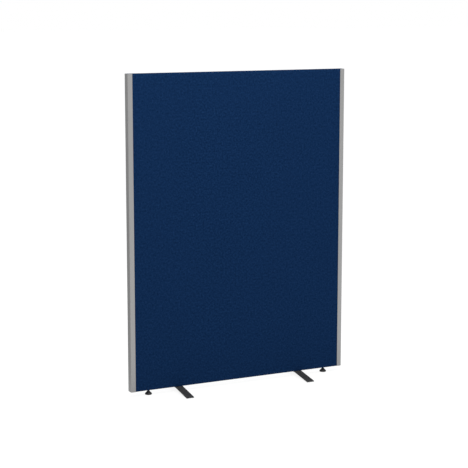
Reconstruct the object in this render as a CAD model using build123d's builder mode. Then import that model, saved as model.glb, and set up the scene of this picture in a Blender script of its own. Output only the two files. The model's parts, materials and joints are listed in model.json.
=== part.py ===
from build123d import *
from math import atan2, cos, radians, sin, sqrt, tan
import os

# Freestanding fabric screen. Millimetres, +Z up, front at -Y.
# The origin is on the floor, under the middle of the panel.

# Whole screen
screen_width = 1200.0
screen_height = 1600.0
screen_thickness = 40.0
floor_gap = 25.0

# Layers on each side of the frame
fabric_thickness = 0.8
foam_thickness = 3.0
foam_edge_share = 0.8
board_thickness = 3.0
flap_width = 12.0
cover_hole_play = 0.3

# Edge trims
trim_face_width = 25.0
trim_wall = 1.5
trim_corner_radius = 4.0
lip_radius_share = 0.4
spine_thickness = 2.0
spine_length = 12.0
barb_height = 0.6
barb_length = 2.5
barb_count = 3
spine_end_cut = 10.0
groove_clearance = 0.1

# Timber frame
stile_width = 45.0
top_rail_height = 45.0
bottom_rail_height = 70.0
cross_rail_height = 45.0
dowel_radius = 4.0
dowel_length = 40.0
dowel_spacing = 22.0
dowel_end_gap = 0.5
dowel_chamfer = 0.8

# Honeycomb in the bays of the frame
cell_width = 75.0
cell_wall = 2.0
core_border = 6.0
core_clearance = 0.3

# Bent steel feet
foot_centre = 340.0
foot_width = 40.0
foot_thickness = 5.0
foot_reach = 157.0
foot_bend_radius = 14.0
foot_edge_radius = 0.6
foot_screw_spacing = 20.0
foot_screw_radius = 3.0
foot_screw_grip = 14.0
foot_screw_head_radius = 5.8
foot_screw_socket_width = 4.0
foot_screw_socket_depth = 2.2
foot_screw_play = 0.3
foot_insert_radius = 4.5
countersink_angle = 90

# Levelling glides
glide_end_distance = 100.0
glide_lift = 5.0
glide_lift_room = 0.5
base_rim_radius = 17.5
base_rim_inset = 1.2
base_rim_low = 1.2
base_rim_high = 6.0
base_round_share = 0.4
base_neck_radius = 5.5
base_flank_hollow = 0.7
base_sole = 3.0
stem_radius = 4.0
stem_rise = 30.0
stem_tip_chamfer = 0.8
stem_head_radius = 7.0
stem_head_height = 3.0
stem_hole_play = 1.0
stem_end_room = 3.0
spanner_width_share = 0.82
spanner_height = 3.0
spanner_rise = 1.0
glide_insert_radius = 6.0
glide_insert_length = 20.0

# Threaded sleeves and running fits
insert_chamfer = 0.5
fit_clearance = 0.05
turning_clearance = 0.08
drill_runout = 2.0

# Staples under the bottom rail
staple_wire = 0.8
staple_crown = 10.0
staple_leg = 8.0
staple_pitch = 60.0
staple_row_y = 6.0

# One overrun for every cut that has to pass a face
cut_overrun = 1.0

# Layers and levels that follow from the sizes above
panel_width = screen_width - 2 * trim_wall
panel_depth = screen_thickness - 2 * trim_wall
panel_height = screen_height - floor_gap
cover_radius = trim_corner_radius - trim_wall
foam_edge_radius = min(cover_radius, foam_edge_share * foam_thickness)
cover_inside_radius = min(cover_radius - fabric_thickness, foam_edge_radius)
frame_width = panel_width - 2 * fabric_thickness
frame_height = panel_height - 2 * fabric_thickness
frame_bottom = floor_gap + fabric_thickness
foam_face = panel_depth / 2 - fabric_thickness
board_face = foam_face - foam_thickness
frame_face = board_face - board_thickness
rail_length = frame_width - 2 * stile_width
glide_x = screen_width / 2 - glide_end_distance
base_height = floor_gap - glide_lift - glide_lift_room

# The rails' lower faces: the cross rails leave three bays of one height
bay_height = (frame_height - top_rail_height - bottom_rail_height - 2 * cross_rail_height) / 3
lower_bay_bottom = frame_bottom + bottom_rail_height
lower_cross_bottom = lower_bay_bottom + bay_height
middle_bay_bottom = lower_cross_bottom + cross_rail_height
upper_cross_bottom = middle_bay_bottom + bay_height
upper_bay_bottom = upper_cross_bottom + cross_rail_height
top_rail_bottom = upper_bay_bottom + bay_height

rails = [
    ("bottom_rail", frame_bottom, bottom_rail_height),
    ("lower_cross_rail", lower_cross_bottom, cross_rail_height),
    ("upper_cross_rail", upper_cross_bottom, cross_rail_height),
    ("top_rail", top_rail_bottom, top_rail_height),
]
bays = [
    ("lower_core", lower_bay_bottom),
    ("middle_core", middle_bay_bottom),
    ("upper_core", upper_bay_bottom),
]

# The feet slope from the panel's faces down to the floor
foot_slope = atan2(floor_gap - foot_thickness, foot_reach - screen_thickness / 2)
foot_bend_y = screen_thickness / 2 + foot_thickness / 2 * tan(foot_slope / 2)
foot_bend_z = floor_gap - foot_thickness / 2
foot_tip_y = foot_reach + foot_thickness / 2 * sin(foot_slope)
foot_tip_z = foot_thickness / 2 * cos(foot_slope)
foot_underside = floor_gap - foot_thickness
foot_screw_places = [foot_centre - foot_screw_spacing / 2, foot_centre + foot_screw_spacing / 2]

os.makedirs("parts", exist_ok=True)


def keep(name, piece):
    """Labels a finished piece and writes its file."""
    piece.part.label = name
    export_step(piece.part, f"parts/{name}.step")


def mirrored(piece):
    """The same piece at the other end of the screen."""
    with BuildPart() as twin:
        mirror(piece.part, about=Plane.YZ)
    return twin


def upright_plane(x):
    """A vertical plane across the screen's width at x, with its own y along +Z."""
    return Plane(origin=(x, 0, 0), x_dir=(1, 0, 0), z_dir=(0, -1, 0))


def dowel_levels(bottom, height):
    """Heights of the two dowels at each end of a rail."""
    middle = bottom + height / 2
    return [middle - dowel_spacing / 2, middle + dowel_spacing / 2]


def dowel_holes(joint_x, levels, reach):
    """Holes for half a dowel each, from the joint at joint_x along X by reach."""
    with BuildSketch(Plane.YZ.offset(joint_x)) as holes:
        with Locations(*[(0, level) for level in levels]):
            Circle(dowel_radius + fit_clearance)
    extrude(holes.sketch, amount=reach, mode=Mode.SUBTRACT)


def pocket(x, radius, depth):
    """A round hole up into the bottom rail from its lower face."""
    with BuildSketch(Plane.XY.offset(frame_bottom)) as mouth:
        with Locations((x, 0)):
            Circle(radius)
    extrude(mouth.sketch, amount=depth, mode=Mode.SUBTRACT)


def staple_places():
    """Staples spread evenly along the rail, left out where a foot or a glide is fixed."""
    last_staple = rail_length / 2 - staple_crown
    count = max(1, int(last_staple / staple_pitch))
    places = []
    for step in range(-count, count + 1):
        x = step * last_staple / count
        clear_of_foot = abs(abs(x) - foot_centre) > foot_width / 2 + staple_crown
        clear_of_glide = abs(abs(x) - glide_x) > glide_insert_radius + staple_crown
        if clear_of_foot and clear_of_glide:
            places.append(x)
    return places


def staple_leg_places():
    """Centres of the staples' legs, two to each staple."""
    leg_x = (staple_crown - staple_wire) / 2
    return [(x + side * leg_x, staple_row_y) for x in staple_places() for side in (-1, 1)]


def staple_leg_holes():
    """The holes that the legs make in the cover and the rail."""
    with BuildSketch(Plane.XY.offset(floor_gap)) as holes:
        with Locations(*staple_leg_places()):
            Rectangle(staple_wire + 2 * fit_clearance, staple_wire + 2 * fit_clearance)
    extrude(holes.sketch, amount=staple_leg + fit_clearance, mode=Mode.SUBTRACT)


def fitting_pockets():
    """Pockets for the glides' and the feet's sleeves, with room above for what is screwed in."""
    stem_hole_depth = stem_rise + glide_lift + stem_end_room - fabric_thickness
    for side in (-1, 1):
        pocket(side * glide_x, glide_insert_radius + fit_clearance, glide_insert_length)
        pocket(side * glide_x, stem_radius + stem_hole_play, stem_hole_depth)
        for x in foot_screw_places:
            pocket(side * x, foot_insert_radius + fit_clearance, foot_screw_grip)
            pocket(side * x, foot_screw_radius + foot_screw_play, foot_screw_grip + drill_runout)


def rail(bottom, height, carries_fittings):
    """A rail between the stiles, drilled for two dowels at each end."""
    reach = dowel_length / 2 + dowel_end_gap
    with BuildPart() as timber:
        with BuildSketch(Plane.XY.offset(bottom)):
            Rectangle(rail_length, 2 * frame_face)
        extrude(amount=height)
        for side in (-1, 1):
            dowel_holes(side * rail_length / 2, dowel_levels(bottom, height), -side * reach)
        if carries_fittings:
            fitting_pockets()
            staple_leg_holes()
    return timber


# Rails between the stiles; the bottom one carries the glides, the feet and the staples
for name, bottom, height in rails:
    keep(name, rail(bottom, height, carries_fittings=name == "bottom_rail"))


# Stiles: full height, grooved along the outer edge for the trim's spine
with BuildPart() as right_stile:
    groove_half = spine_thickness / 2 + barb_height + groove_clearance
    groove_floor = panel_width / 2 - spine_length - groove_clearance
    groove_depth = frame_width / 2 - groove_floor + cut_overrun
    with BuildSketch(Plane.XY.offset(frame_bottom)):
        with Locations(((frame_width - stile_width) / 2, 0)):
            Rectangle(stile_width, 2 * frame_face)
        with Locations((groove_floor + groove_depth / 2, 0)):
            Rectangle(groove_depth, 2 * groove_half, mode=Mode.SUBTRACT)
    extrude(amount=frame_height)
    for name, bottom, height in rails:
        dowel_holes(rail_length / 2, dowel_levels(bottom, height), dowel_length / 2 + dowel_end_gap)
keep("right_stile", right_stile)
keep("left_stile", mirrored(right_stile))


# Dowels, half in the rail and half in the stile
with BuildPart() as frame_dowels:
    with BuildSketch(Plane.YZ.offset(rail_length / 2 - dowel_length / 2)):
        with Locations(*[(0, z) for name, bottom, height in rails for z in dowel_levels(bottom, height)]):
            Circle(dowel_radius)
    extrude(amount=dowel_length)
    chamfer(frame_dowels.edges(), length=dowel_chamfer)
    mirror(about=Plane.YZ)
keep("frame_dowels", frame_dowels)


# Honeycomb board that fills a bay of the frame, its cells open to the front and back boards
core_width = rail_length - 2 * core_clearance
core_height = bay_height - 2 * core_clearance
cell_pitch = cell_width + cell_wall
column_pitch = cell_pitch * sqrt(3) / 2
cell_length = cell_width * 2 / sqrt(3)
columns = int((core_width - 2 * core_border - cell_length) / column_pitch) + 1
rows = int((core_height - 2 * core_border - cell_pitch / 2) / cell_pitch)

with BuildSketch() as cells:
    with HexLocations(cell_pitch / 2, columns, rows):
        RegularPolygon(cell_width / 2, 6, major_radius=False)

for name, bottom in bays:
    middle = bottom + bay_height / 2
    with BuildPart() as core:
        with BuildSketch(Plane(origin=(0, frame_face, middle), x_dir=(1, 0, 0), z_dir=(0, -1, 0))):
            Rectangle(core_width, core_height)
            add(cells.sketch, mode=Mode.SUBTRACT)
        extrude(amount=2 * frame_face)
    keep(name, core)


# Hardboard on both sides of the frame
with BuildPart() as front_board:
    with BuildSketch(Plane.XY.offset(frame_bottom)):
        with Locations((0, -(frame_face + board_face) / 2)):
            Rectangle(frame_width, board_thickness)
    extrude(amount=frame_height)
keep("front_board", front_board)

with BuildPart() as back_board:
    mirror(front_board.part, about=Plane.XZ)
keep("back_board", back_board)


# Foam underlay with eased outer edges
with BuildPart() as front_foam:
    with BuildSketch(Plane.XY.offset(frame_bottom)):
        with Locations((0, -(board_face + foam_face) / 2)):
            Rectangle(frame_width, foam_thickness)
    extrude(amount=frame_height)
    outer_face = front_foam.faces().sort_by(Axis.Y)[0]
    fillet(outer_face.edges(), radius=foam_edge_radius)
keep("front_foam", front_foam)

with BuildPart() as back_foam:
    mirror(front_foam.part, about=Plane.XZ)
keep("back_foam", back_foam)


# Fabric cover: a skin round the whole panel, open at both ends between turned-in flaps
with BuildPart() as cover_inside:
    with BuildSketch(Plane.XY.offset(frame_bottom)):
        Rectangle(frame_width, 2 * foam_face)
    extrude(amount=frame_height)
    fillet(cover_inside.edges().filter_by(Axis.Y, reverse=True), radius=cover_inside_radius)

with BuildPart() as fabric_cover:
    with BuildSketch(Plane.XY.offset(floor_gap)):
        Rectangle(panel_width, panel_depth)
    extrude(amount=panel_height)
    fillet(fabric_cover.edges().filter_by(Axis.Y, reverse=True), radius=cover_radius)
    add(cover_inside.part, mode=Mode.SUBTRACT)
    with BuildSketch(Plane.YZ):
        with Locations((0, frame_bottom + frame_height / 2)):
            Rectangle(panel_depth - 2 * flap_width, frame_height)
    extrude(amount=panel_width / 2 + cut_overrun, both=True, mode=Mode.SUBTRACT)
    with BuildSketch(Plane.XY.offset(floor_gap)):
        with Locations((-glide_x, 0), (glide_x, 0)):
            Circle(stem_radius + cover_hole_play)
        with Locations(*[(side * x, 0) for side in (-1, 1) for x in foot_screw_places]):
            Circle(foot_screw_radius + cover_hole_play)
    extrude(amount=fabric_thickness, mode=Mode.SUBTRACT)
    staple_leg_holes()
keep("fabric_cover", fabric_cover)


# Staples that close the cover under the bottom rail
with BuildPart() as cover_staples:
    with BuildSketch(Plane.XY.offset(floor_gap)):
        with Locations(*staple_leg_places()):
            Rectangle(staple_wire, staple_wire)
    extrude(amount=staple_leg)
    with BuildSketch(Plane.XY.offset(floor_gap)):
        with Locations(*[(x, staple_row_y) for x in staple_places()]):
            Rectangle(staple_crown, staple_wire)
    extrude(amount=-staple_wire)
keep("cover_staples", cover_staples)


# Edge trims: a channel over the panel's edge, with a barbed spine pressed into the stile
with BuildPart() as right_edge_trim:
    with BuildSketch(Plane.XY.offset(floor_gap)) as profile:
        inner_reach = trim_face_width - trim_wall
        with Locations(((screen_width - trim_face_width) / 2, 0)):
            Rectangle(trim_face_width, screen_thickness)
        fillet(profile.vertices().group_by(Axis.X)[-1], radius=trim_corner_radius)
        with Locations((panel_width / 2 - inner_reach / 2, 0)):
            Rectangle(inner_reach, panel_depth, mode=Mode.SUBTRACT)
        fillet(profile.vertices().group_by(Axis.X)[-2], radius=cover_radius)
        fillet(profile.vertices().group_by(Axis.X)[0], radius=lip_radius_share * trim_wall)
    extrude(amount=panel_height)
    with BuildSketch(Plane.XY.offset(floor_gap + spine_end_cut)):
        with Locations((panel_width / 2 - spine_length / 2, 0)):
            Rectangle(spine_length, spine_thickness)
        barb_pitch = spine_length / (barb_count + 1)
        for step in range(barb_count):
            point_x = panel_width / 2 - spine_length + step * barb_pitch
            for side in (-1, 1):
                Polygon(
                    (point_x, 0),
                    (point_x, side * spine_thickness / 2),
                    (point_x + barb_length, side * (spine_thickness / 2 + barb_height)),
                    (point_x + barb_length, 0),
                    align=None,
                )
    extrude(amount=panel_height - 2 * spine_end_cut)
keep("right_edge_trim", right_edge_trim)
keep("left_edge_trim", mirrored(right_edge_trim))


# Feet: a flat bar under the panel, bent down to the floor in front and behind
with BuildPart() as right_foot_bar:
    with BuildLine(Plane.YZ.offset(foot_centre)) as centre_line:
        FilletPolyline(
            (-foot_tip_y, foot_tip_z),
            (-foot_bend_y, foot_bend_z),
            (foot_bend_y, foot_bend_z),
            (foot_tip_y, foot_tip_z),
            radius=foot_bend_radius,
        )
    start = centre_line.wire() @ 0
    heading = centre_line.wire() % 0
    with BuildSketch(Plane(origin=start, x_dir=(1, 0, 0), z_dir=heading)) as section:
        Rectangle(foot_width, foot_thickness)
        fillet(section.vertices(), radius=foot_edge_radius)
    sweep(path=centre_line.wire())
    mouths = [Plane(origin=(x, 0, foot_underside), z_dir=(0, 0, -1)) for x in foot_screw_places]
    with Locations(*mouths):
        CounterSinkHole(
            radius=foot_screw_radius + foot_screw_play,
            counter_sink_radius=foot_screw_head_radius + fit_clearance,
            counter_sink_angle=countersink_angle,
        )
keep("right_foot_bar", right_foot_bar)
keep("left_foot_bar", mirrored(right_foot_bar))


# Screws of a foot: countersunk, with a hexagon socket
with BuildPart() as right_foot_screws:
    screw_top = frame_bottom + foot_screw_grip
    cone_height = (foot_screw_head_radius - foot_screw_radius) / tan(radians(countersink_angle / 2))
    for x in foot_screw_places:
        with BuildSketch(upright_plane(x)):
            with BuildLine():
                Polyline(
                    (0, foot_underside),
                    (foot_screw_head_radius, foot_underside),
                    (foot_screw_radius, foot_underside + cone_height),
                    (foot_screw_radius, screw_top - insert_chamfer),
                    (foot_screw_radius - insert_chamfer, screw_top),
                    (0, screw_top),
                    close=True,
                )
            make_face()
        revolve(axis=Axis((x, 0, 0), (0, 0, 1)))
    with BuildSketch(Plane.XY.offset(foot_underside)):
        with Locations(*[(x, 0) for x in foot_screw_places]):
            RegularPolygon(foot_screw_socket_width / 2, 6, major_radius=False)
    extrude(amount=foot_screw_socket_depth, mode=Mode.SUBTRACT)
keep("right_foot_screws", right_foot_screws)
keep("left_foot_screws", mirrored(right_foot_screws))


def sleeve(places, outer_radius, bore_radius, length):
    """Threaded sleeves flush with the bottom rail's lower face."""
    with BuildPart() as sleeves:
        with BuildSketch(Plane.XY.offset(frame_bottom)):
            with Locations(*[(x, 0) for x in places]):
                Circle(outer_radius)
                Circle(bore_radius, mode=Mode.SUBTRACT)
        extrude(amount=length)
        outer_edges = sleeves.edges().filter_by(GeomType.CIRCLE).filter_by(
            lambda edge: edge.radius > (outer_radius + bore_radius) / 2
        )
        chamfer(outer_edges, length=insert_chamfer)
    return sleeves


right_foot_inserts = sleeve(
    foot_screw_places, foot_insert_radius, foot_screw_radius + fit_clearance, foot_screw_grip
)
keep("right_foot_inserts", right_foot_inserts)
keep("left_foot_inserts", mirrored(right_foot_inserts))

right_glide_insert = sleeve(
    [glide_x], glide_insert_radius, stem_radius + turning_clearance, glide_insert_length
)
keep("right_glide_insert", right_glide_insert)
keep("left_glide_insert", mirrored(right_glide_insert))


# Glide base: a cone on a rounded rim, moulded round the stem's head
with BuildPart() as right_glide_base:
    bore_radius = stem_radius + turning_clearance
    socket_radius = stem_head_radius + turning_clearance
    socket_roof = base_sole + stem_head_height + turning_clearance
    flank_x = (base_rim_radius + base_neck_radius) / 2 - base_flank_hollow
    flank_z = (base_rim_high + base_height) / 2 - base_flank_hollow
    with BuildSketch(upright_plane(glide_x)):
        with BuildLine():
            outside = Polyline(
                (0, 0),
                (base_rim_radius - base_rim_inset, 0),
                (base_rim_radius, base_rim_low),
                (base_rim_radius, base_rim_high),
            )
            flank = ThreePointArc(outside @ 1, (flank_x, flank_z), (base_neck_radius, base_height))
            Polyline(
                flank @ 1,
                (bore_radius, base_height),
                (bore_radius, socket_roof),
                (socket_radius, socket_roof),
                (socket_radius, base_sole),
                (0, base_sole),
                (0, 0),
            )
        make_face()
    revolve(axis=Axis((glide_x, 0, 0), (0, 0, 1)))
    rim_edges = right_glide_base.edges().filter_by(
        lambda edge: edge.geom_type == GeomType.CIRCLE and edge.radius > base_rim_radius - fit_clearance
    )
    fillet(rim_edges, radius=base_round_share * (base_rim_high - base_rim_low))
keep("right_glide_base", right_glide_base)
keep("left_glide_base", mirrored(right_glide_base))


# Glide stem: a disc head, a threaded rod and two spanner flats above the base
with BuildPart() as right_glide_stem:
    head_top = base_sole + stem_head_height
    stem_top = floor_gap + stem_rise
    with BuildSketch(upright_plane(glide_x)):
        with BuildLine():
            Polyline(
                (0, base_sole),
                (stem_head_radius, base_sole),
                (stem_head_radius, head_top),
                (stem_radius, head_top),
                (stem_radius, stem_top - stem_tip_chamfer),
                (stem_radius - stem_tip_chamfer, stem_top),
                (0, stem_top),
                close=True,
            )
        make_face()
    revolve(axis=Axis((glide_x, 0, 0), (0, 0, 1)))
    flat_y = spanner_width_share * stem_radius
    with BuildSketch(Plane.XY.offset(base_height + spanner_rise)):
        with Locations((glide_x, flat_y + stem_radius / 2), (glide_x, -flat_y - stem_radius / 2)):
            Rectangle(2 * stem_radius + cut_overrun, stem_radius)
    extrude(amount=spanner_height, mode=Mode.SUBTRACT)
keep("right_glide_stem", right_glide_stem)
keep("left_glide_stem", mirrored(right_glide_stem))
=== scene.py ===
import json
import math

import bmesh
import bpy
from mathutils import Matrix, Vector, noise

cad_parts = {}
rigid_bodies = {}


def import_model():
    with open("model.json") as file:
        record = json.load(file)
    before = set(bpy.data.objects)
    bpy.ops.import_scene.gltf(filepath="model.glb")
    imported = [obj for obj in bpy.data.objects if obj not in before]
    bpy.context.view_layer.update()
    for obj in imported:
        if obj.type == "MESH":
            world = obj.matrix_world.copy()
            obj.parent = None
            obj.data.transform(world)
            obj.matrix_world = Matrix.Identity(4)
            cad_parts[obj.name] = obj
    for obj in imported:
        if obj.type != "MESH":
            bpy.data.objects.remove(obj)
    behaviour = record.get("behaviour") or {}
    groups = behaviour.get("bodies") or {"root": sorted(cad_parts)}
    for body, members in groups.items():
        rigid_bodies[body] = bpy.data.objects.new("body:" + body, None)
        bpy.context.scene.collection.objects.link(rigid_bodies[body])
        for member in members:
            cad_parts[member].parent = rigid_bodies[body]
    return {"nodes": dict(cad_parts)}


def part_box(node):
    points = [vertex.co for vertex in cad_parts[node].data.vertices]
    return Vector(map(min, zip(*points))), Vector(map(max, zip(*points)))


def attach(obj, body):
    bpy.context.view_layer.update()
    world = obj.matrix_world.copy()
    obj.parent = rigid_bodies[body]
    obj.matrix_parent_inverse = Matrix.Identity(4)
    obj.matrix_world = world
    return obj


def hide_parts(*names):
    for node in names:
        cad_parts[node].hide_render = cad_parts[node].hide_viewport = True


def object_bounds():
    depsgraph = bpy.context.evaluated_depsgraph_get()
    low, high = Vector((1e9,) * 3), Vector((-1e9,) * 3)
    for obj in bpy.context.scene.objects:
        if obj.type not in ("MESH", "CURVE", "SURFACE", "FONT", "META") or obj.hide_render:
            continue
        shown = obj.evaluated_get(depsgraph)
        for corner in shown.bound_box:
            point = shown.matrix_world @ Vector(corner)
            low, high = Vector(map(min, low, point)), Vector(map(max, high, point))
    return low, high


bl_info = {
    "name": "Freestanding Fabric Screen",
    "version": (1, 0, 0),
    "blender": (4, 5, 0),
    "location": "3D View > Sidebar > Fabric Screen",
    "description": "Dresses a freestanding fabric screen: cloth, foam, edge trims, feet, glides and frame",
    "category": "Object",
}

MM = 0.001

for leftover in list(bpy.data.objects):
    bpy.data.objects.remove(leftover)

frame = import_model()
cad_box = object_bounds()


# Places that follow from the frame

def span(node, axis):
    """Lowest and highest value of a CAD node along an axis, 0 for X, 1 for Y, 2 for Z."""
    low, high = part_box(node)
    return low[axis], high[axis]


def staple_middles():
    """Middles of the staples' crowns along the width."""
    least_gap = 15 * MM
    points = frame["nodes"]["cover_staples"].data.vertices
    across = sorted(p.co.x for p in points)
    middles, group = [], [across[0]]
    for x in across[1:]:
        if x - group[-1] > least_gap:
            middles.append((group[0] + group[-1]) / 2)
            group = []
        group.append(x)
    middles.append((group[0] + group[-1]) / 2)
    return middles


PANEL_BOTTOM, PANEL_TOP = span("fabric_cover", 2)
PANEL_HALF_WIDTH = span("fabric_cover", 0)[1]
PANEL_HALF_DEPTH = span("fabric_cover", 1)[1]
FOAM_FACE = span("back_foam", 1)[1]
BOARD_FACE = span("back_board", 1)[1]
FOOT_TIP = cad_box[1].y
STAPLE_LINE = sum(span("cover_staples", 1)) / 2

GLIDE_X = sum(span("right_glide_stem", 0)) / 2
BASE_TOP = span("right_glide_base", 2)[1]
STEM_FOOT, STEM_TOP = span("right_glide_stem", 2)

# The stem's own sizes, from its disc head up to its thread
HEAD_TOP, HEAD_RADIUS, HEAD_EDGE = STEM_FOOT + 3 * MM, 7 * MM, 0.3 * MM
SHANK_RADIUS, SHANK_FILLET = 4 * MM, 0.25 * MM
FLAT_LOW, FLAT_HIGH = BASE_TOP + 1 * MM, BASE_TOP + 4 * MM
THREAD_START = FLAT_HIGH + 0.4 * MM

# The lap under the panel: how deep its inner end lies, by how much it is pressed thinner, the clearance
# of its outer end, how far that one bulges between staples, and the length over which all of it fades
LAP_SUNK, LAP_PRESSED, LAP_CLEAR = 0.46 * MM, 0.5 * MM, 0.02 * MM
LAP_RISE, LAP_FADE = 0.5 * MM, 2.5 * MM


# Settings

class ClothSettings(bpy.types.PropertyGroup):
    """The blue cloth that covers the panel."""

    colour: bpy.props.FloatVectorProperty(
        name="Cloth colour", description="Colour of the dyed yarn", subtype="COLOR",
        size=3, min=0, max=1, default=(0.0039, 0.0211, 0.0723),
    )
    thread_pitch: bpy.props.FloatProperty(
        name="Thread pitch", description="Distance from one thread to the next",
        default=0.95 * MM, min=0.0003, max=0.005, unit="LENGTH", precision=5,
    )
    relief: bpy.props.FloatProperty(
        name="Thread relief", description="Height of the threads over the gaps between them",
        default=0.16 * MM, min=0, max=0.002, unit="LENGTH", precision=5,
    )
    thickness: bpy.props.FloatProperty(
        name="Cloth thickness", description="Thickness of the cloth where nothing presses it",
        default=PANEL_HALF_DEPTH - FOAM_FACE, min=0.0002, max=0.005, unit="LENGTH", precision=5,
    )
    edge_radius: bpy.props.FloatProperty(
        name="Edge radius", description="Outer radius of the cloth where it turns over an edge",
        default=2.5 * MM, min=0.0005, max=0.01, unit="LENGTH", precision=4,
    )
    flap: bpy.props.FloatProperty(
        name="End flap", description="Width of the flap that is turned in under each edge trim",
        default=12 * MM, min=0.003, max=0.018, unit="LENGTH", precision=4,
    )
    lap: bpy.props.FloatProperty(
        name="Stapled lap", description="How far the two ends of the cloth overlap under the panel",
        default=9 * MM, min=0.002, max=0.02, unit="LENGTH", precision=4,
    )
    slack: bpy.props.FloatProperty(
        name="Slack", description="Depth of the slight hollows in the stretched cloth",
        default=0.3 * MM, min=0, max=0.003, unit="LENGTH", precision=5,
    )


class FoamSettings(bpy.types.PropertyGroup):
    """The foam underlay between the cloth and the boards."""

    colour: bpy.props.FloatVectorProperty(
        name="Foam colour", description="Colour of the foam", subtype="COLOR",
        size=3, min=0, max=1, default=(0.72, 0.7, 0.62),
    )
    pore: bpy.props.FloatProperty(
        name="Pore size", description="Width of an open cell of the foam",
        default=0.7 * MM, min=0.0002, max=0.005, unit="LENGTH", precision=5,
    )
    press: bpy.props.FloatProperty(
        name="Press", description="How far the stretched cloth presses the foam in",
        default=0.35 * MM, min=0, max=0.002, unit="LENGTH", precision=5,
    )


class MetalSettings(bpy.types.PropertyGroup):
    """The bare and coated metal pieces."""

    trim_colour: bpy.props.FloatVectorProperty(
        name="Trim colour", description="Colour of the satin silver edge trims", subtype="COLOR",
        size=3, min=0, max=1, default=(0.36, 0.36, 0.36),
    )
    trim_roughness: bpy.props.FloatProperty(
        name="Trim roughness", description="How much the edge trims blur what they reflect",
        default=0.42, min=0, max=1, subtype="FACTOR",
    )
    foot_colour: bpy.props.FloatVectorProperty(
        name="Foot colour", description="Colour of the powder coat on the feet", subtype="COLOR",
        size=3, min=0, max=1, default=(0.029, 0.029, 0.029),
    )
    screw_colour: bpy.props.FloatVectorProperty(
        name="Screw colour", description="Colour of the blackened screws and stems", subtype="COLOR",
        size=3, min=0, max=1, default=(0.07, 0.07, 0.074),
    )
    sleeve_colour: bpy.props.FloatVectorProperty(
        name="Sleeve colour", description="Colour of the brass sleeves", subtype="COLOR",
        size=3, min=0, max=1, default=(0.72, 0.53, 0.25),
    )
    wire_colour: bpy.props.FloatVectorProperty(
        name="Staple colour", description="Colour of the galvanised staples", subtype="COLOR",
        size=3, min=0, max=1, default=(0.55, 0.55, 0.55),
    )


class GlideSettings(bpy.types.PropertyGroup):
    """The levelling glides."""

    colour: bpy.props.FloatVectorProperty(
        name="Base colour", description="Colour of the moulded bases", subtype="COLOR",
        size=3, min=0, max=1, default=(0.02, 0.02, 0.021),
    )
    pitch: bpy.props.FloatProperty(
        name="Thread pitch", description="Rise of the stem's thread in one turn",
        default=1.25 * MM, min=0.0005, max=0.005, unit="LENGTH", precision=5,
    )
    depth: bpy.props.FloatProperty(
        name="Thread depth", description="Depth of the stem's thread",
        default=0.6 * MM, min=0, max=0.002, unit="LENGTH", precision=5,
    )


class TimberSettings(bpy.types.PropertyGroup):
    """The hidden frame, its boards and the honeycomb."""

    softwood: bpy.props.FloatVectorProperty(
        name="Softwood colour", description="Colour of the rails and stiles", subtype="COLOR",
        size=3, min=0, max=1, default=(0.62, 0.45, 0.27),
    )
    beech: bpy.props.FloatVectorProperty(
        name="Dowel colour", description="Colour of the beech dowels", subtype="COLOR",
        size=3, min=0, max=1, default=(0.58, 0.4, 0.25),
    )
    hardboard: bpy.props.FloatVectorProperty(
        name="Hardboard colour", description="Colour of the face boards", subtype="COLOR",
        size=3, min=0, max=1, default=(0.21, 0.12, 0.06),
    )
    paper: bpy.props.FloatVectorProperty(
        name="Honeycomb colour", description="Colour of the honeycomb board", subtype="COLOR",
        size=3, min=0, max=1, default=(0.5, 0.36, 0.22),
    )


class StageSettings(bpy.types.PropertyGroup):
    """Floor, light and camera."""

    floor_colour: bpy.props.FloatVectorProperty(
        name="Floor colour", description="Grey of the floor before it adds its own light", subtype="COLOR",
        size=3, min=0, max=1, default=(0.2, 0.2, 0.2),
    )
    floor_glow: bpy.props.FloatProperty(
        name="Floor glow", description="Light that the floor adds where it is seen, which hides the shadow",
        default=0.87, min=0, max=1,
    )
    front_floor_light: bpy.props.FloatProperty(
        name="Front floor light", description="Light that the floor in front throws up on the screen",
        default=0.87, min=0, max=2,
    )
    back_floor_light: bpy.props.FloatProperty(
        name="Back floor light", description="Light that the floor behind throws up on the screen",
        default=0.28, min=0, max=2,
    )
    sky_strength: bpy.props.FloatProperty(
        name="Room light", description="Strength of the even light from all sides",
        default=0.7, min=0, max=5,
    )
    key_power: bpy.props.FloatProperty(
        name="Main light", description="Power of the large soft light in front, above",
        default=44, min=0, max=5000, unit="POWER",
    )
    back_power: bpy.props.FloatProperty(
        name="Back light", description="Power of the large soft light behind, above",
        default=28, min=0, max=5000, unit="POWER",
    )
    lens: bpy.props.FloatProperty(
        name="Lens", description="Focal length of the camera, in millimetres",
        default=106.453, min=10, max=400,
    )


# Building materials

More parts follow.
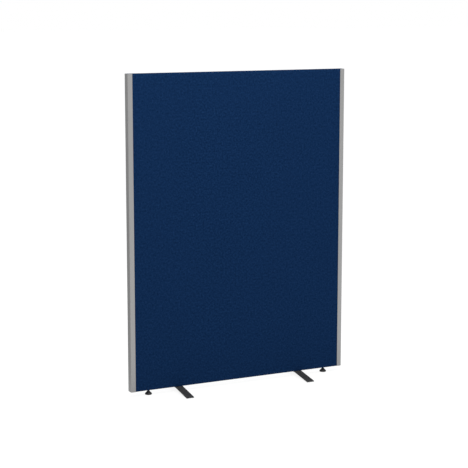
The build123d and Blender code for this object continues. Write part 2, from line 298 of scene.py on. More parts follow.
class Finish:
    """A procedural material while its nodes are put together."""

    def __init__(self, name):
        self.material = bpy.data.materials.new(name)
        self.material.use_nodes = True
        self.nodes = self.material.node_tree.nodes
        self.links = self.material.node_tree.links
        self.nodes.clear()
        self.shader = self.add("ShaderNodeBsdfPrincipled")
        output = self.add("ShaderNodeOutputMaterial")
        self.links.new(self.shader.outputs["BSDF"], output.inputs["Surface"])
        self.place = self.add("ShaderNodeTexCoord").outputs["Object"]

    def add(self, kind, inputs=None, **choices):
        """A new node with its choices set and its inputs fed."""
        node = self.nodes.new(kind)
        for key, value in choices.items():
            setattr(node, key, value)
        for key, value in (inputs or {}).items():
            self.feed(node.inputs[key], value)
        return node

    def feed(self, socket, value):
        """Joins a socket to another node, or sets its value."""
        if isinstance(value, bpy.types.NodeSocket):
            self.links.new(value, socket)
        else:
            socket.default_value = value

    def set(self, **values):
        """Sets or joins the shader's own sockets, named with _ for a space."""
        for key, value in values.items():
            if key in ("Base_Color", "Sheen_Tint") and not isinstance(value, bpy.types.NodeSocket):
                value = (*value, 1)
            name = key.replace("_", " ")
            self.feed(self.shader.inputs["Specular IOR Level" if name == "Specular" else name], value)

    def part(self, vector, axis):
        """One part of a place or direction, named X, Y or Z."""
        return self.add("ShaderNodeSeparateXYZ", {"Vector": vector}).outputs[axis]

    def math(self, operation, a, b=0.0, c=0.0, clamp=False):
        """One step of arithmetic."""
        return self.add(
            "ShaderNodeMath", {0: a, 1: b, 2: c}, operation=operation, use_clamp=clamp
        ).outputs[0]

    def stretch(self, vector, x, y, z):
        """A place with its three parts scaled."""
        return self.add(
            "ShaderNodeVectorMath", {0: vector, 1: (x, y, z)}, operation="MULTIPLY"
        ).outputs[0]

    def noise(self, vector, scale, detail=2.0, roughness=0.5, distortion=0.0):
        """Soft noise from 0 to 1."""
        return self.add("ShaderNodeTexNoise", {
            "Vector": vector, "Scale": scale, "Detail": detail,
            "Roughness": roughness, "Distortion": distortion,
        }).outputs["Fac"]

    def remap(self, value, low, high, to_low, to_high):
        """A value taken from one range to another and kept inside it."""
        return self.add("ShaderNodeMapRange", {
            "Value": value, "From Min": low, "From Max": high, "To Min": to_low, "To Max": to_high,
        }).outputs["Result"]

    def spread(self, noise, low, high):
        """Noise, nearly all of which lies between 0.3 and 0.7, spread from low to high."""
        return self.remap(noise, 0.3, 0.7, low, high)

    def product(self, level, *others):
        """Levels multiplied together."""
        for other in others:
            level = self.math("MULTIPLY", level, other)
        return level

    def blend(self, share, a, b):
        """A colour between a and b."""
        node = self.add("ShaderNodeMix", data_type="RGBA")
        for key, value in ((0, share), (6, a), (7, b)):
            self.feed(node.inputs[key], (*value, 1) if isinstance(value, tuple) else value)
        return node.outputs[2]

    def shade(self, colour, level):
        """A colour made lighter or darker by a level about 1."""
        return self.add(
            "ShaderNodeVectorMath", {0: colour, "Scale": level}, operation="SCALE"
        ).outputs[0]

    def relief(self, height, depth, strength=1.0):
        """Feeds the shader's normal with bumps of a real depth."""
        node = self.add(
            "ShaderNodeBump", {"Height": height, "Distance": depth, "Strength": strength}
        )
        self.set(Normal=node.outputs["Normal"])


def plain(colour, factor=1.0):
    """A settings colour as a plain tuple, scaled."""
    return tuple(min(1.0, part * factor) for part in colour)


def plain_colour(f, colour):
    """A colour as a node, for what shades it further on."""
    node = f.add("ShaderNodeRGB")
    node.outputs[0].default_value = (*plain(colour), 1)
    return node.outputs[0]


def dress(material, *nodes):
    """Gives CAD nodes one material."""
    for name in nodes:
        piece = frame["nodes"][name]
        piece.data.materials.clear()
        piece.data.materials.append(material)


# Materials

def blue_cloth(s):
    """Woven crepe cloth: over and under threads, irregular floats, a slightly mixed dye and painted shade
    between threads.
    """
    f = Finish("blue_cloth")
    cloth = f.add("ShaderNodeUVMap", uv_map="cloth").outputs["UV"]
    sway = f.noise(cloth, 140, 2)
    drift = f.math("MULTIPLY_ADD", sway, s.thread_pitch, -s.thread_pitch / 2)
    across = f.math("ADD", f.part(cloth, "X"), drift)
    along = f.math("SUBTRACT", f.part(cloth, "Y"), drift)
    warp = f.math("SINE", f.math("MULTIPLY", across, math.pi / s.thread_pitch))
    weft = f.math("SINE", f.math("MULTIPLY", along, math.pi / s.thread_pitch))
    irregular, crossing, dip = 1.2, 0.15, 0.35
    floats = f.noise(cloth, 0.42 / s.thread_pitch, 1)
    floats = f.math("MULTIPLY_ADD", floats, 2 * irregular, -irregular)
    over = f.math("MULTIPLY_ADD", warp, weft, floats)
    warp_on_top = f.remap(over, -crossing, crossing, 0, 1)
    warp_round = f.math("ABSOLUTE", warp)
    weft_round = f.math("ABSOLUTE", weft)
    warp_height = f.math("MULTIPLY", warp_round, f.math("MULTIPLY_ADD", weft_round, dip, 1 - dip))
    weft_height = f.math("MULTIPLY", weft_round, f.math("MULTIPLY_ADD", warp_round, dip, 1 - dip))
    height = f.add("ShaderNodeMix", {0: warp_on_top, 2: weft_height, 3: warp_height}).outputs[0]
    fibres = f.noise(cloth, 5.5 / s.thread_pitch, 2, 0.6)
    warp_dye = f.noise(f.stretch(cloth, 1 / s.thread_pitch, 55, 1), 1, 1)
    weft_dye = f.noise(f.stretch(cloth, 55, 1 / s.thread_pitch, 1), 1, 1)
    dye = f.add("ShaderNodeMix", {0: warp_on_top, 2: weft_dye, 3: warp_dye}).outputs[0]
    mottle = f.noise(cloth, 112, 3, 0.58)
    cloud = f.noise(cloth, 5, 2)
    # Painted shade: the thread height term darkens the gaps between threads; dye, mottle and fibres vary
    # the tone.
    level = f.product(
        f.math("ADD", f.remap(dye, 0.25, 0.75, 0.8, 1.2), f.remap(height, 0, 1, -0.3, 0.14)),
        f.remap(mottle, 0.25, 0.75, 0.62, 1.38),
        f.spread(cloud, 0.985, 1.015),
        f.spread(fibres, 0.93, 1.07),
    )
    bleached = (0.0024, 0.003, 0.001)
    pale = tuple(part + extra for part, extra in zip(plain(s.colour), bleached))
    yarn = f.blend(f.remap(dye, 0.35, 0.7, 0, 0.3), plain(s.colour), plain(s.colour, 1.22))
    yarn = f.blend(f.remap(mottle, 0.4, 0.72, 0, 1), yarn, pale)
    f.set(
        Base_Color=f.shade(yarn, level),
        Roughness=f.remap(height, 0, 1, 0.97, 0.8),
        Specular=0.02, Sheen_Weight=0.012, Sheen_Roughness=0.45, Sheen_Tint=(0.4, 0.58, 0.85),
    )
    whole = f.math("MULTIPLY_ADD", fibres, 0.22, f.math("MULTIPLY_ADD", mottle, 0.35, height))
    f.relief(whole, s.relief, 0.75)
    return f.material


def open_foam(s):
    """Cut foam: open pores with thin walls and painted shade inside them, a little yellowed."""
    f = Finish("open_foam")
    pores = f.add(
        "ShaderNodeTexVoronoi", {"Vector": f.place, "Scale": 1 / s.pore}, feature="DISTANCE_TO_EDGE"
    ).outputs["Distance"]
    age = f.noise(f.place, 9, 3)
    yellowed = (0.66, 0.57, 0.4)
    # Painted shade: the colour goes from 1 at the cell edges down to 0.72 in the middle of each pore.
    walls = f.remap(pores, 0.0, 0.25, 1.0, 0.72)
    colour = f.blend(f.remap(age, 0.35, 0.7, 0, 0.35), plain(s.colour), yellowed)
    f.set(Base_Color=f.shade(colour, walls), Roughness=f.remap(pores, 0, 0.3, 0.85, 1.0), Specular=0.2)
    f.relief(f.math("SUBTRACT", 1.0, pores), 0.25 * MM, 0.6)
    return f.material


def silver_trim(s):
    """Satin anodised extrusion: fine lines along its length, soft smudges, scuffs near the floor."""
    f = Finish("silver_trim")
    lines = f.noise(f.stretch(f.place, 3600, 3600, 7), 1, 2, 0.6)
    streaks = f.noise(f.stretch(f.place, 900, 900, 1.6), 1, 2)
    smudge = f.noise(f.place, 14, 3, 0.6)
    grain = f.noise(f.place, 2600, 1)
    low = f.remap(f.part(f.place, "Z"), 30 * MM, 120 * MM, 1, 0)
    nicks = f.remap(f.noise(f.stretch(f.place, 420, 420, 150), 1, 3, 0.7), 0.63, 0.7, 0, 1)
    scuffs = f.math("MULTIPLY", nicks, low)
    level = f.product(
        f.spread(lines, 0.965, 1.035), f.spread(streaks, 0.98, 1.02), f.spread(smudge, 0.985, 1.015)
    )
    silver = f.shade(plain_colour(f, s.trim_colour), level)
    bare_metal = (0.72, 0.72, 0.73)
    colour = f.blend(f.math("MULTIPLY", scuffs, 0.5), silver, bare_metal)
    rough = f.spread(lines, s.trim_roughness - 0.05, s.trim_roughness + 0.04)
    rough = f.math("ADD", rough, f.remap(smudge, 0.35, 0.7, -0.02, 0.04))
    f.set(Base_Color=colour, Metallic=0.85, Roughness=rough, Specular=0.5)
    whole = f.math("MULTIPLY_ADD", grain, 0.35, f.math("MULTIPLY_ADD", scuffs, -0.8, lines))
    f.relief(whole, 0.02 * MM, 0.5)
    return f.material


def powder_coat(s):
    """Black powder coat: orange peel, a little dust on top, rubbed a shade lighter at the tips."""
    f = Finish("black_powder_coat")
    peel = f.noise(f.place, 620, 2, 0.5)
    fine = f.noise(f.place, 2400, 2)
    dust = f.noise(f.place, 90, 4, 0.65)
    tip = f.remap(f.math("ABSOLUTE", f.part(f.place, "Y")), FOOT_TIP - 22 * MM, FOOT_TIP, 0, 1)
    patches = f.remap(f.noise(f.place, 310, 3, 0.7), 0.5, 0.66, 0, 1)
    rub = f.math("MULTIPLY", tip, patches)
    facing = f.add("ShaderNodeNewGeometry").outputs["Normal"]
    up = f.remap(f.part(facing, "Z"), 0.3, 0.95, 0, 1)
    settled = f.math("MULTIPLY", up, f.remap(dust, 0.38, 0.68, 0.03, 0.16))
    dust_colour, rubbed_colour = (0.16, 0.158, 0.155), (0.11, 0.11, 0.11)
    colour = f.blend(settled, plain(s.foot_colour), dust_colour)
    colour = f.blend(f.math("MULTIPLY", rub, 0.35), colour, rubbed_colour)
    dull = f.math("MULTIPLY", settled, 1.6)
    rough = f.math("ADD", f.spread(fine, 0.4, 0.5), dull, clamp=True)
    f.set(Base_Color=colour, Roughness=rough, Specular=0.5)
    f.relief(f.math("MULTIPLY_ADD", fine, 0.3, peel), 0.06 * MM, 0.55)
    return f.material


def moulded_plastic(s):
    """Black moulded plastic: fine spark texture and a scuffed rim."""
    f = Finish("black_moulded_plastic")
    spark = f.noise(f.place, 1900, 2, 0.6)
    flow = f.noise(f.stretch(f.place, 60, 60, 140), 1, 2)
    rim = f.remap(f.part(f.place, "Z"), 0, 7 * MM, 1, 0)
    patches = f.noise(f.stretch(f.place, 300, 300, 900), 1, 3, 0.7)
    rub = f.math("MULTIPLY", rim, f.remap(patches, 0.48, 0.66, 0, 1))
    rubbed_colour = (0.075, 0.075, 0.077)
    colour = f.blend(f.math("MULTIPLY", rub, 0.4), plain(s.colour), rubbed_colour)
    colour = f.shade(colour, f.spread(flow, 0.9, 1.12))
    f.set(Base_Color=colour, Roughness=f.spread(spark, 0.42, 0.58), Specular=0.5)
    f.relief(spark, 0.04 * MM, 0.5)
    return f.material


def metal(name, colour, metallic, smooth, rough, cloudy, grain=900):
    """Small metal, plated or bare, with a cloudy tone and a fine grain."""
    f = Finish(name)
    cloud = f.noise(f.place, 230, 3, 0.6)
    specks = f.noise(f.place, grain * 2.5, 2, 0.6)
    level = f.spread(cloud, 1 - cloudy, 1 + cloudy)
    f.set(
        Base_Color=f.shade(plain_colour(f, colour), level), Metallic=metallic,
        Roughness=f.spread(specks, smooth, rough), Specular=0.5,
    )
    f.relief(specks, 0.012 * MM, 0.5)
    return f.material


def grain_scale(along, across_grain, with_grain):
    """Scales for a place, the same on both axes across the grain and another one along it."""
    return tuple(with_grain if axis == along else across_grain for axis in range(3))


def timber(name, colour, along, late):
    """Wood with growth rings cut along its length, 0 for X and 2 for Z."""
    f = Finish(name)
    warped = f.noise(f.stretch(f.place, *grain_scale(along, 9.0, 0.55)), 1.6, 3, 0.5)
    from_pith = f.math("ADD", f.part(f.place, "Y"), 50 * MM)
    side = f.math("PINGPONG", f.part(f.place, "Z" if along == 0 else "X"), 110 * MM)
    squares = f.math("ADD", f.math("POWER", from_pith, 2.0), f.math("POWER", side, 2.0))
    bands = f.math("MULTIPLY", f.math("SQRT", squares), 2100)
    rings = f.math("SINE", f.math("ADD", bands, f.math("MULTIPLY", warped, 26)))
    fibre = f.noise(f.stretch(f.place, *grain_scale(along, 1500.0, 30.0)), 1, 2, 0.7)
    late_wood = f.math("MULTIPLY", f.remap(rings, -0.2, 1, 0, 1), late)
    tone = f.blend(late_wood, plain(colour), plain(colour, 0.58))
    level = f.product(f.spread(fibre, 0.9, 1.08), f.spread(warped, 0.93, 1.05))
    f.set(
        Base_Color=f.shade(tone, level),
        Roughness=f.spread(fibre, 0.55, 0.72), Specular=0.4,
    )
    f.relief(f.math("MULTIPLY_ADD", rings, 0.15, fibre), 0.08 * MM, 0.6)
    return f.material


def fibre_board(colour):
    """Pressed hardboard: matted dark fibres with pale flecks."""
    f = Finish("hardboard")
    mat = f.noise(f.stretch(f.place, 320, 320, 320), 1, 4, 0.75, 1.2)
    flecks = f.remap(f.noise(f.stretch(f.place, 260, 700, 620), 1, 2, 0.6), 0.62, 0.72, 0, 1)
    tone = f.blend(f.math("MULTIPLY", flecks, 0.5), plain(colour), plain(colour, 2.1))
    f.set(
        Base_Color=f.shade(tone, f.spread(mat, 0.75, 1.25)),
        Roughness=f.spread(mat, 0.5, 0.72), Specular=0.4,
    )
    f.relief(mat, 0.06 * MM, 0.5)
    return f.material


def kraft_paper(colour):
    """Brown paper honeycomb with short fibres and glue lines."""
    f = Finish("kraft_paper")
    fibres = f.noise(f.stretch(f.place, 700, 260, 700), 1, 4, 0.75)
    bands = f.noise(f.place, 35, 2)
    level = f.product(f.spread(fibres, 0.86, 1.14), f.spread(bands, 0.93, 1.07))
    tone = f.shade(plain_colour(f, colour), level)
    f.set(Base_Color=tone, Roughness=f.spread(fibres, 0.78, 0.95), Specular=0.3)
    f.relief(fibres, 0.05 * MM, 0.5)
    return f.material


# Shapes

def steps(low, high, longest):
    """Even values from low to high, at most longest apart, both ends in."""
    count = max(1, math.ceil(abs(high - low) / longest - 1e-6))
    return [low + (high - low) * i / count for i in range(count + 1)]


def ramp(distance, length):
    """0 at the start of a length and 1 from its end on."""
    return min(1.0, max(0.0, distance / length))


def slight_hollow(x, z, side, depth):
    """How far the stretched cloth lies inside its flat face at x, z. It is held flat near every edge."""
    held_at_end, end_ease = 28 * MM, 60 * MM
    held_at_turn, turn_ease = 8 * MM, 50 * MM
    from_end = PANEL_HALF_WIDTH - abs(x) - held_at_end
    from_turn = min(z - PANEL_BOTTOM, PANEL_TOP - z) - held_at_turn
    hold = ramp(from_end, end_ease) * ramp(from_turn, turn_ease)
    broad = noise.noise(Vector((x * 3.1 + 7 * side, 0.4 * side, z * 2.3)))
    fine = noise.noise(Vector((x * 9.0, 3.0 + side, z * 7.0)))
    return depth * hold * (0.5 + 0.38 * broad + 0.16 * fine)


def lap_bulge(x, middles):
    """0 at a staple, rising to 1 between two of them."""
    held, rise = 6 * MM, 16 * MM
    nearest = min(abs(x - middle) for middle in middles)
    return ramp(nearest - held, rise) ** 0.7


def cover_rows(s):
    """The cloth's outer line round the panel, from one end of the lap to the other.

    Each row is (y, z, outward y, outward z, kind), where kind is lap_under, turn, face or lap_over.
    """
    r, d = s.edge_radius, PANEL_HALF_DEPTH
    low, high = PANEL_BOTTOM, PANEL_TOP
    under_step, face_step, top_step, over_step = 2.6 * MM, 15.5 * MM, 5 * MM, 1.3 * MM
    rows = []
    for y in steps(STAPLE_LINE + s.lap / 2, -d + r, under_step)[:-1]:
        rows.append((y, low, 0, -1, "lap_under"))

    def corner(y, z, start):
        for i in range(5):
            a = start - math.radians(22.5 * i)
            rows.append((y + r * math.cos(a), z + r * math.sin(a), math.cos(a), math.sin(a), "turn"))

    corner(-d + r, low + r, math.radians(270))
    for z in steps(low + r, high - r, face_step)[1:-1]:
        rows.append((-d, z, -1, 0, "face"))
    corner(-d + r, high - r, math.radians(180))
    for y in steps(-d + r, d - r, top_step)[1:-1]:
        rows.append((y, high, 0, 1, "turn"))
    corner(d - r, high - r, math.radians(90))
    for z in steps(high - r, low + r, face_step)[1:-1]:
        rows.append((d, z, 1, 0, "face"))
    corner(d - r, low + r, 0)
    for y in steps(d - r, STAPLE_LINE - s.lap / 2, over_step)[1:]:
        rows.append((y, low, 0, -1, "lap_over"))
    return rows


def cover_columns(s):
    """Places across the cloth: (distance from the middle, turned angle, flap width) with signs."""
    width_step, flap_step = 14.5 * MM, 3.2 * MM
    half = PANEL_HALF_WIDTH - s.edge_radius
    columns = [(x, 0.0, 0.0) for x in steps(-half, half, width_step)]
    for side in (-1, 1):
        ends = [(side * half, side * math.radians(30 * i), 0.0) for i in (1, 2, 3)]
        widths = steps(s.edge_radius, s.flap, flap_step)[1:]
        ends += [(side * half, side * math.radians(90), width) for width in widths]
        columns = ends[::-1] + columns if side < 0 else columns + ends
    return columns


def cloth_point(s, row, column, middles):
    """The outer and inner points of the cloth at one row and column."""
    y, z, out_y, out_z, kind = row
    x, angle, width = column
    r = s.edge_radius
    thick = s.thickness
    inward = 0.0
    if angle:
        x += math.copysign(r * math.sin(abs(angle)), angle)
        bend = abs(out_y) ** 2
        inward = max(r * (1 - math.cos(angle)), width) * bend
    elif kind == "face":
        inward = slight_hollow(x, z, out_y, s.slack)
    if kind in ("lap_under", "lap_over"):
        near = 1 - ramp(abs(y - STAPLE_LINE) - s.lap / 2, LAP_FADE)
        if kind == "lap_under":
            inward = LAP_SUNK * near
            thick = s.thickness - LAP_PRESSED * near
        else:
            bulge = LAP_RISE * lap_bulge(x, middles) * near
            inward = LAP_CLEAR - bulge
            thick = s.thickness - (LAP_SUNK - LAP_CLEAR) * near + bulge * 0.5
    outer = Vector((x, y - out_y * inward, z - out_z * inward))
    if angle:
        turn = abs(angle) * abs(out_y) ** 2
        aside, ahead = math.copysign(math.sin(turn), angle), math.cos(turn)
        normal = Vector((aside, out_y * ahead, out_z * ahead))
        normal.normalize()
    else:
        normal = Vector((0, out_y, out_z))
    return outer, outer - normal * thick


def cloth_mesh(s):
    """The whole cover as one closed skin of the cloth's thickness, with its flat cut as the UV map."""
    middles = staple_middles()
    rows = cover_rows(s)
    columns = cover_columns(s)
    lengths = [0.0]
    for a, b in zip(rows, rows[1:]):
        lengths.append(lengths[-1] + math.hypot(b[0] - a[0], b[1] - a[1]))
    across = []
    for x, angle, width in columns:
        past = abs(angle) * s.edge_radius + max(0.0, width - s.edge_radius)
        across.append(x + math.copysign(past, angle) if angle else x)
    reach = across[-1]
    mesh = bmesh.new()
    uv = mesh.loops.layers.uv.new("cloth")
    outer, inner = {}, {}
    for i, row in enumerate(rows):
        for j, column in enumerate(columns):
            if column[2] and row[4] != "face":
                continue
            a, b = cloth_point(s, row, column, middles)
            outer[i, j], inner[i, j] = mesh.verts.new(a), mesh.verts.new(b)

    def face(corners, cut):
        made = mesh.faces.new(corners)
        made.smooth = True
        for loop, (i, j) in zip(made.loops, cut):
            loop[uv].uv = (across[j] + reach, lengths[i])

    filled = set()
    for i in range(len(rows) - 1):
        for j in range(len(columns) - 1):
            cut = [(i, j), (i + 1, j), (i + 1, j + 1), (i, j + 1)]
            if all(key in outer for key in cut):
                face([outer[key] for key in cut], cut)
                face([inner[key] for key in cut[::-1]], cut[::-1])
                filled.add((i, j))
    for i, j in filled:
        sides = (
            ((i - 1, j), (i, j), (i, j + 1)),
            ((i + 1, j), (i + 1, j + 1), (i + 1, j)),
            ((i, j - 1), (i + 1, j), (i, j)),
            ((i, j + 1), (i, j + 1), (i + 1, j + 1)),
        )
        for beyond, a, b in sides:
            if beyond not in filled:
                face([outer[a], outer[b], inner[b], inner[a]], [a, b, b, a])
    bmesh.ops.recalc_face_normals(mesh, faces=mesh.faces)
    for edge in mesh.edges:
        edge.smooth = len(edge.link_faces) == 2 and edge.calc_face_angle(0) < math.radians(50)
    data = bpy.data.meshes.new("cloth_cover")
    mesh.to_mesh(data)
    mesh.free()
    return data, (2 * reach, lengths[-1])


def pad_steps(low, high, edge):
    """Places across a pad: two close to each end for its soft edge, the others even."""
    first, last, close = low + edge, high - edge, edge * 0.4
    even = steps(first, last, 18 * MM)[1:-1]
    return [low, low + close, first, *even, last, high - close, high]


def pad_mesh(name, side, s):
    """A pad of foam over one board: pressed a little flat, with soft edges and an uneven cut face."""
    (x0, _, z0), (x1, _, z1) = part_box(name)
    seat = side * BOARD_FACE
    face = side * (FOAM_FACE - s.press)
    edge, cut_depth = 2.2 * MM, 0.12 * MM
    mesh = bmesh.new()
    xs, zs = pad_steps(x0, x1, edge), pad_steps(z0, z1, edge)
    top, low = {}, {}
    for i, x in enumerate(xs):
        for j, z in enumerate(zs):
            near = min(x - x0, x1 - x, z - z0, z1 - z)
            drop = edge - math.sqrt(max(0.0, edge ** 2 - (edge - min(near, edge)) ** 2))
            cut = 1 + noise.noise(Vector((x * 40, 2.0 * side, z * 40)))
            uneven = cut_depth * cut * min(1.0, near / edge)
            top[i, j] = mesh.verts.new((x, face - side * (drop * 0.8 + uneven), z))
            low[i, j] = mesh.verts.new((x, seat, z))
    cells = [(i, j) for i in range(len(xs) - 1) for j in range(len(zs) - 1)]
    for i, j in cells:
        corners = [(i, j), (i + 1, j), (i + 1, j + 1), (i, j + 1)]
        mesh.faces.new([top[key] for key in corners])
        mesh.faces.new([low[key] for key in corners[::-1]])
    last_i, last_j = len(xs) - 1, len(zs) - 1
    rim = [(i, 0) for i in range(last_i)] + [(last_i, j) for j in range(last_j)]
    rim += [(i, last_j) for i in range(last_i, 0, -1)] + [(0, j) for j in range(last_j, 0, -1)]
    for a, b in zip(rim, rim[1:] + rim[:1]):
        mesh.faces.new([top[a], low[a], low[b], top[b]])
    bmesh.ops.recalc_face_normals(mesh, faces=mesh.faces)
    for part in mesh.faces:
        part.smooth = True
    for line in mesh.edges:
        line.smooth = line.calc_face_angle(0) < math.radians(45)
    data = bpy.data.meshes.new(name + "_pad")
    mesh.to_mesh(data)
    mesh.free()
    return data


def stem_radius_at(height, turn, s):
    """Radius of a glide stem at a height above the floor and an angle: disc head, plain shank, thread."""
    if height <= HEAD_TOP:
        return HEAD_RADIUS
    if height < THREAD_START:
        return SHANK_RADIUS
    start_fade, end_fade = 1.0 * MM, 1.2 * MM
    end_chamfer = 0.8 * MM
    phase = (height / s.pitch - turn / (2 * math.pi)) % 1.0
    ridge = min(1.0, max(0.0, 1.35 - abs(phase - 0.5) * 3.1))
    fade = min(ramp(STEM_TOP - height, end_fade), ramp(height - THREAD_START, start_fade))
    root = SHANK_RADIUS - s.depth
    end = SHANK_RADIUS - end_chamfer * (1 - ramp(STEM_TOP - height, end_chamfer))
    return min(end, root + s.depth * ridge * fade)


def stem_mesh(name, middle, s):
    """A glide stem: rounded disc head, shank, two spanner flats and a cut thread."""
    sides, tiny, flat_reach = 40, 0.05 * MM, 0.82 * SHANK_RADIUS
    head = [STEM_FOOT, STEM_FOOT + HEAD_EDGE, HEAD_TOP - HEAD_EDGE, HEAD_TOP]
    levels = head + [HEAD_TOP + 0.02 * MM]
    levels += steps(HEAD_TOP + 0.5 * MM, FLAT_LOW - tiny, 3 * MM)
    levels += [FLAT_LOW, FLAT_LOW + tiny, FLAT_HIGH - tiny, FLAT_HIGH, THREAD_START]
    levels += steps(FLAT_HIGH + 0.5 * MM, STEM_TOP, s.pitch / 10)
    mesh = bmesh.new()
    rings = []
    for k, height in enumerate(levels):
        ring = []
        for i in range(sides):
            turn = 2 * math.pi * i / sides
            radius = stem_radius_at(height, turn, s)
            if k in (0, len(head) - 1):
                radius -= HEAD_EDGE
            if k == len(head):
                radius = SHANK_RADIUS + SHANK_FILLET
            x, y = radius * math.cos(turn), radius * math.sin(turn)
            if FLAT_LOW + 0.8 * tiny <= height <= FLAT_HIGH - 0.8 * tiny:
                y = max(-flat_reach, min(flat_reach, y))
            ring.append(mesh.verts.new((middle + x, y, height)))
        rings.append(ring)
    for a, b in zip(rings, rings[1:]):
        for i in range(sides):
            after = (i + 1) % sides
            mesh.faces.new((a[i], a[after], b[after], b[i])).smooth = True
    mesh.faces.new(rings[0][::-1])
    mesh.faces.new(rings[-1])
    for line in mesh.edges:
        line.smooth = line.calc_face_angle(0) < math.radians(38)
    data = bpy.data.meshes.new(name)
    mesh.to_mesh(data)
    mesh.free()
    return data


def hole_cutters():
    """Round bars where the glide stems and the foot screws pass through the cloth."""
    stem_hole, screw_hole, sleeve_radius = 4.3 * MM, 3.3 * MM, 4.5 * MM
    mesh = bmesh.new()
    spots = [(side * GLIDE_X, stem_hole) for side in (-1, 1)]
    for node in ("left_foot_inserts", "right_foot_inserts"):
        low, high = span(node, 0)
        spots += [(low + sleeve_radius, screw_hole), (high - sleeve_radius, screw_hole)]
    for x, radius in spots:
        made = bmesh.ops.create_cone(
            mesh, cap_ends=True, segments=32, radius1=radius, radius2=radius, depth=6 * MM
        )
        bmesh.ops.translate(mesh, verts=made["verts"], vec=(x, 0, PANEL_BOTTOM))
    data = bpy.data.meshes.new("hole_cutters")
    mesh.to_mesh(data)
    mesh.free()
    return bpy.data.objects.new("hole_cutters", data)


def pale_floor(s):
    """A wide even floor that adds light of its own where the camera sees it."""
    mesh = bmesh.new()
    bmesh.ops.create_grid(mesh, x_segments=8, y_segments=8, size=80)
    data = bpy.data.meshes.new("pale_floor")
    mesh.to_mesh(data)
    mesh.free()
    f = Finish("pale_floor")
    wash = f.noise(f.place, 0.9, 2)
    seen = f.add("ShaderNodeLightPath").outputs["Is Camera Ray"]
    thrown = f.remap(f.part(f.place, "Y"), -0.5, 0.4, s.front_floor_light, s.back_floor_light)
    glow = f.add("ShaderNodeMix", {0: seen, 2: thrown, 3: s.floor_glow}).outputs[0]
    f.set(
        Base_Color=f.shade(plain_colour(f, s.floor_colour), f.spread(wash, 0.995, 1.005)),
        Roughness=0.9, Specular=0.1, Emission_Strength=glow,
    )
    f.shader.inputs["Emission Color"].default_value = (1, 1, 1, 1)
    data.materials.append(f.material)
    return bpy.data.objects.new("pale_floor", data)


def studio_room(s):
    """An even white room: white where it is seen, a little dimmer as a source of light."""
    world = bpy.data.worlds.new("studio_room")
    world.use_nodes = True
    nodes, links = world.node_tree.nodes, world.node_tree.links
    nodes.clear()
    path = nodes.new("ShaderNodeLightPath")
    strength = nodes.new("ShaderNodeMapRange")
    strength.inputs["To Min"].default_value = s.sky_strength
    strength.inputs["To Max"].default_value = 1.0
    room = nodes.new("ShaderNodeBackground")
    room.inputs["Color"].default_value = (1, 1, 1, 1)
    output = nodes.new("ShaderNodeOutputWorld")
    links.new(path.outputs["Is Camera Ray"], strength.inputs["Value"])
    links.new(strength.outputs["Result"], room.inputs["Strength"])
    links.new(room.outputs["Background"], output.inputs["Surface"])
    return world


def softbox(name, at, power):
    """A square soft light, 2 m wide, aimed at the middle of the panel."""
    lamp = bpy.data.lights.new(name, "AREA")
    lamp.energy, lamp.size = power, 2.0
    holder = bpy.data.objects.new(name, lamp)
    holder.location = at
    aim = Vector((0, 0, 0.8)) - holder.location
    holder.rotation_euler = aim.to_track_quat("-Z", "Y").to_euler()
    return holder


def photo_camera(s):
    """The camera at the photograph's viewing angle, turned to the right and pitched down."""
    pitch, turn = math.radians(8.9692), math.radians(25.8195)
    camera = bpy.data.objects.new("camera", bpy.data.cameras.new("camera"))
    camera.data.sensor_width = 36
    camera.data.lens = s.lens
    camera.data.shift_y = -0.03
    camera.location = (-3.0362, -6.2258, 1.942)
    camera.rotation_euler = (math.radians(90) - pitch, 0, -turn)
    return camera


def place(name, data, material, body, slot, *nodes):
    """Puts a new piece in the scene on its body, in place of the CAD nodes that it stands for."""
    piece = bpy.data.objects.new(name, data)
    bpy.context.scene.collection.objects.link(piece)
    data.materials.append(material)
    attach(piece, body)
    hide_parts(*nodes)
    return piece


# Operators, one for each piece or group of like pieces

class SCREEN_OT_cloth_cover(bpy.types.Operator):
    """Stretches the blue cloth round the panel and closes it with a lap under the bottom rail"""

    bl_idname = "fabric_screen.cloth_cover"
    bl_label = "Cloth cover"

    def execute(self, context):
        s = context.scene.screen_cloth
        data, cut = cloth_mesh(s)
        cover = place("cloth_cover", data, blue_cloth(s), "screen", "blue_cloth", "fabric_cover")
        cutters = hole_cutters()
        context.scene.collection.objects.link(cutters)
        holes = cover.modifiers.new("holes", "BOOLEAN")
        holes.operation, holes.solver, holes.object = "DIFFERENCE", "EXACT", cutters
        context.view_layer.update()
        ready = cover.evaluated_get(context.evaluated_depsgraph_get())
        pierced = bpy.data.meshes.new_from_object(ready)
        cover.modifiers.clear()
        cover.data = pierced
        bpy.data.objects.remove(cutters)
        if "cloth" not in pierced.uv_layers:
            raise RuntimeError("the cloth lost its flat cut")
        return {"FINISHED"}


class SCREEN_OT_foam_pads(bpy.types.Operator):
    """Lays the foam underlay over both boards"""

    bl_idname = "fabric_screen.foam_pads"
    bl_label = "Foam pads"

    def execute(self, context):
        s = context.scene.screen_foam
        foam = open_foam(s)
        for name, node, side in (("foam_front", "front_foam", -1), ("foam_back", "back_foam", 1)):
            pad = place(name, pad_mesh(node, side, s), foam, "screen", "foam", node)
        return {"FINISHED"}


class SCREEN_OT_edge_trims(bpy.types.Operator):
    """Finishes the two silver edge trims"""

    bl_idname = "fabric_screen.edge_trims"
    bl_label = "Edge trims"

    def execute(self, context):
        dress(silver_trim(context.scene.screen_metal), "left_edge_trim", "right_edge_trim")
        return {"FINISHED"}


class SCREEN_OT_foot_bars(bpy.types.Operator):
    """Finishes the bent steel feet"""

    bl_idname = "fabric_screen.foot_bars"
    bl_label = "Foot bars"

    def execute(self, context):
        dress(powder_coat(context.scene.screen_metal), "left_foot_bar", "right_foot_bar")
        return {"FINISHED"}


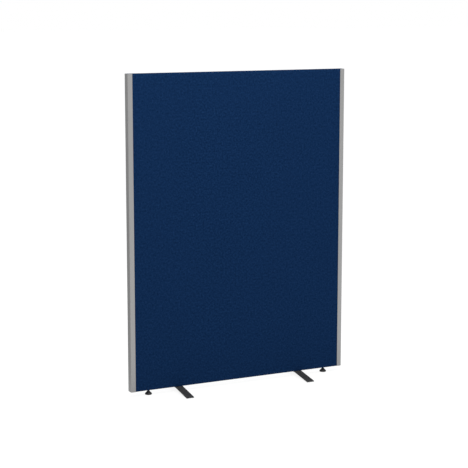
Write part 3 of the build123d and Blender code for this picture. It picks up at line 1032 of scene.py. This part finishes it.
class SCREEN_OT_fixings(bpy.types.Operator):
    """Finishes the screws, threaded sleeves and staples"""

    bl_idname = "fabric_screen.fixings"
    bl_label = "Fixings"

    def execute(self, context):
        s = context.scene.screen_metal
        zinc = metal("black_zinc", s.screw_colour, 0.85, 0.3, 0.45, 0.25)
        brass = metal("brass_sleeve", s.sleeve_colour, 1.0, 0.25, 0.4, 0.12)
        wire = metal("galvanised_wire", s.wire_colour, 1.0, 0.28, 0.45, 0.15, 1500)
        dress(zinc, "left_foot_screws", "right_foot_screws")
        dress(brass, "left_foot_inserts", "right_foot_inserts", "left_glide_insert", "right_glide_insert")
        dress(wire, "cover_staples")
        return {"FINISHED"}


class SCREEN_OT_glides(bpy.types.Operator):
    """Cuts the threads of the levelling glides and finishes their bases"""

    bl_idname = "fabric_screen.glides"
    bl_label = "Levelling glides"

    def execute(self, context):
        s = context.scene.screen_glide
        dress(moulded_plastic(s), "left_glide_base", "right_glide_base")
        zinc = metal("black_zinc_thread", context.scene.screen_metal.screw_colour, 0.85, 0.3, 0.42, 0.25)
        for side, middle in (("left", -GLIDE_X), ("right", GLIDE_X)):
            name = side + "_threaded_stem"
            data = stem_mesh(name, middle, s)
            place(name, data, zinc, side + "_glide_screw", "black_zinc", side + "_glide_stem")
        return {"FINISHED"}


class SCREEN_OT_timber_frame(bpy.types.Operator):
    """Finishes the rails, stiles and dowels inside the panel"""

    bl_idname = "fabric_screen.timber_frame"
    bl_label = "Timber frame"

    def execute(self, context):
        s = context.scene.screen_timber
        rail_wood = timber("softwood_rail", s.softwood, 0, 0.75)
        stile_wood = timber("softwood_stile", s.softwood, 2, 0.75)
        dress(rail_wood, "top_rail", "bottom_rail", "upper_cross_rail", "lower_cross_rail")
        dress(stile_wood, "left_stile", "right_stile")
        dress(timber("beech", s.beech, 0, 0.3), "frame_dowels")
        return {"FINISHED"}


class SCREEN_OT_boards(bpy.types.Operator):
    """Finishes the face boards and the honeycomb between them"""

    bl_idname = "fabric_screen.boards"
    bl_label = "Boards and honeycomb"

    def execute(self, context):
        s = context.scene.screen_timber
        dress(fibre_board(s.hardboard), "front_board", "back_board")
        dress(kraft_paper(s.paper), "lower_core", "middle_core", "upper_core")
        return {"FINISHED"}


class SCREEN_OT_stage(bpy.types.Operator):
    """Sets the pale floor, the soft studio light and the camera"""

    bl_idname = "fabric_screen.stage"
    bl_label = "Stage"

    def execute(self, context):
        scene = context.scene
        s = scene.screen_stage
        floor, camera = pale_floor(s), photo_camera(s)
        lamps = (
            softbox("front_softbox", (-0.3, -1.3, 3.4), s.key_power),
            softbox("back_softbox", (0.5, 1.5, 3.2), s.back_power),
        )
        for thing in (floor, *lamps, camera):
            scene.collection.objects.link(thing)
        scene.world = studio_room(s)
        scene.view_settings.view_transform = "Standard"
        scene.camera = camera
        return {"FINISHED"}


class SCREEN_PT_parts(bpy.types.Panel):
    """Lists the pieces of the screen."""

    bl_label = "Fabric Screen"
    bl_idname = "SCREEN_PT_parts"
    bl_space_type = "VIEW_3D"
    bl_region_type = "UI"
    bl_category = "Fabric Screen"

    def draw(self, context):
        layout = self.layout
        for step in STEPS:
            layout.operator(step.bl_idname)
        for title, group in SETTINGS.items():
            box = layout.box()
            box.label(text=group.__doc__)
            settings = getattr(context.scene, title)
            for key in group.__annotations__:
                box.prop(settings, key)


SETTINGS = {
    "screen_cloth": ClothSettings,
    "screen_foam": FoamSettings,
    "screen_metal": MetalSettings,
    "screen_glide": GlideSettings,
    "screen_timber": TimberSettings,
    "screen_stage": StageSettings,
}
STEPS = (
    SCREEN_OT_stage,
    SCREEN_OT_foam_pads,
    SCREEN_OT_cloth_cover,
    SCREEN_OT_edge_trims,
    SCREEN_OT_foot_bars,
    SCREEN_OT_fixings,
    SCREEN_OT_glides,
    SCREEN_OT_timber_frame,
    SCREEN_OT_boards,
)


def register():
    for part in (*SETTINGS.values(), *STEPS, SCREEN_PT_parts):
        bpy.utils.register_class(part)
    for title, group in SETTINGS.items():
        setattr(bpy.types.Scene, title, bpy.props.PointerProperty(type=group))


def unregister():
    for title in SETTINGS:
        delattr(bpy.types.Scene, title)
    for part in reversed((*SETTINGS.values(), *STEPS, SCREEN_PT_parts)):
        bpy.utils.unregister_class(part)


def main():
    register()
    for step in STEPS:
        group, name = step.bl_idname.split(".")
        getattr(getattr(bpy.ops, group), name)()
    bpy.context.view_layer.update()


if __name__ == "__main__":
    main()
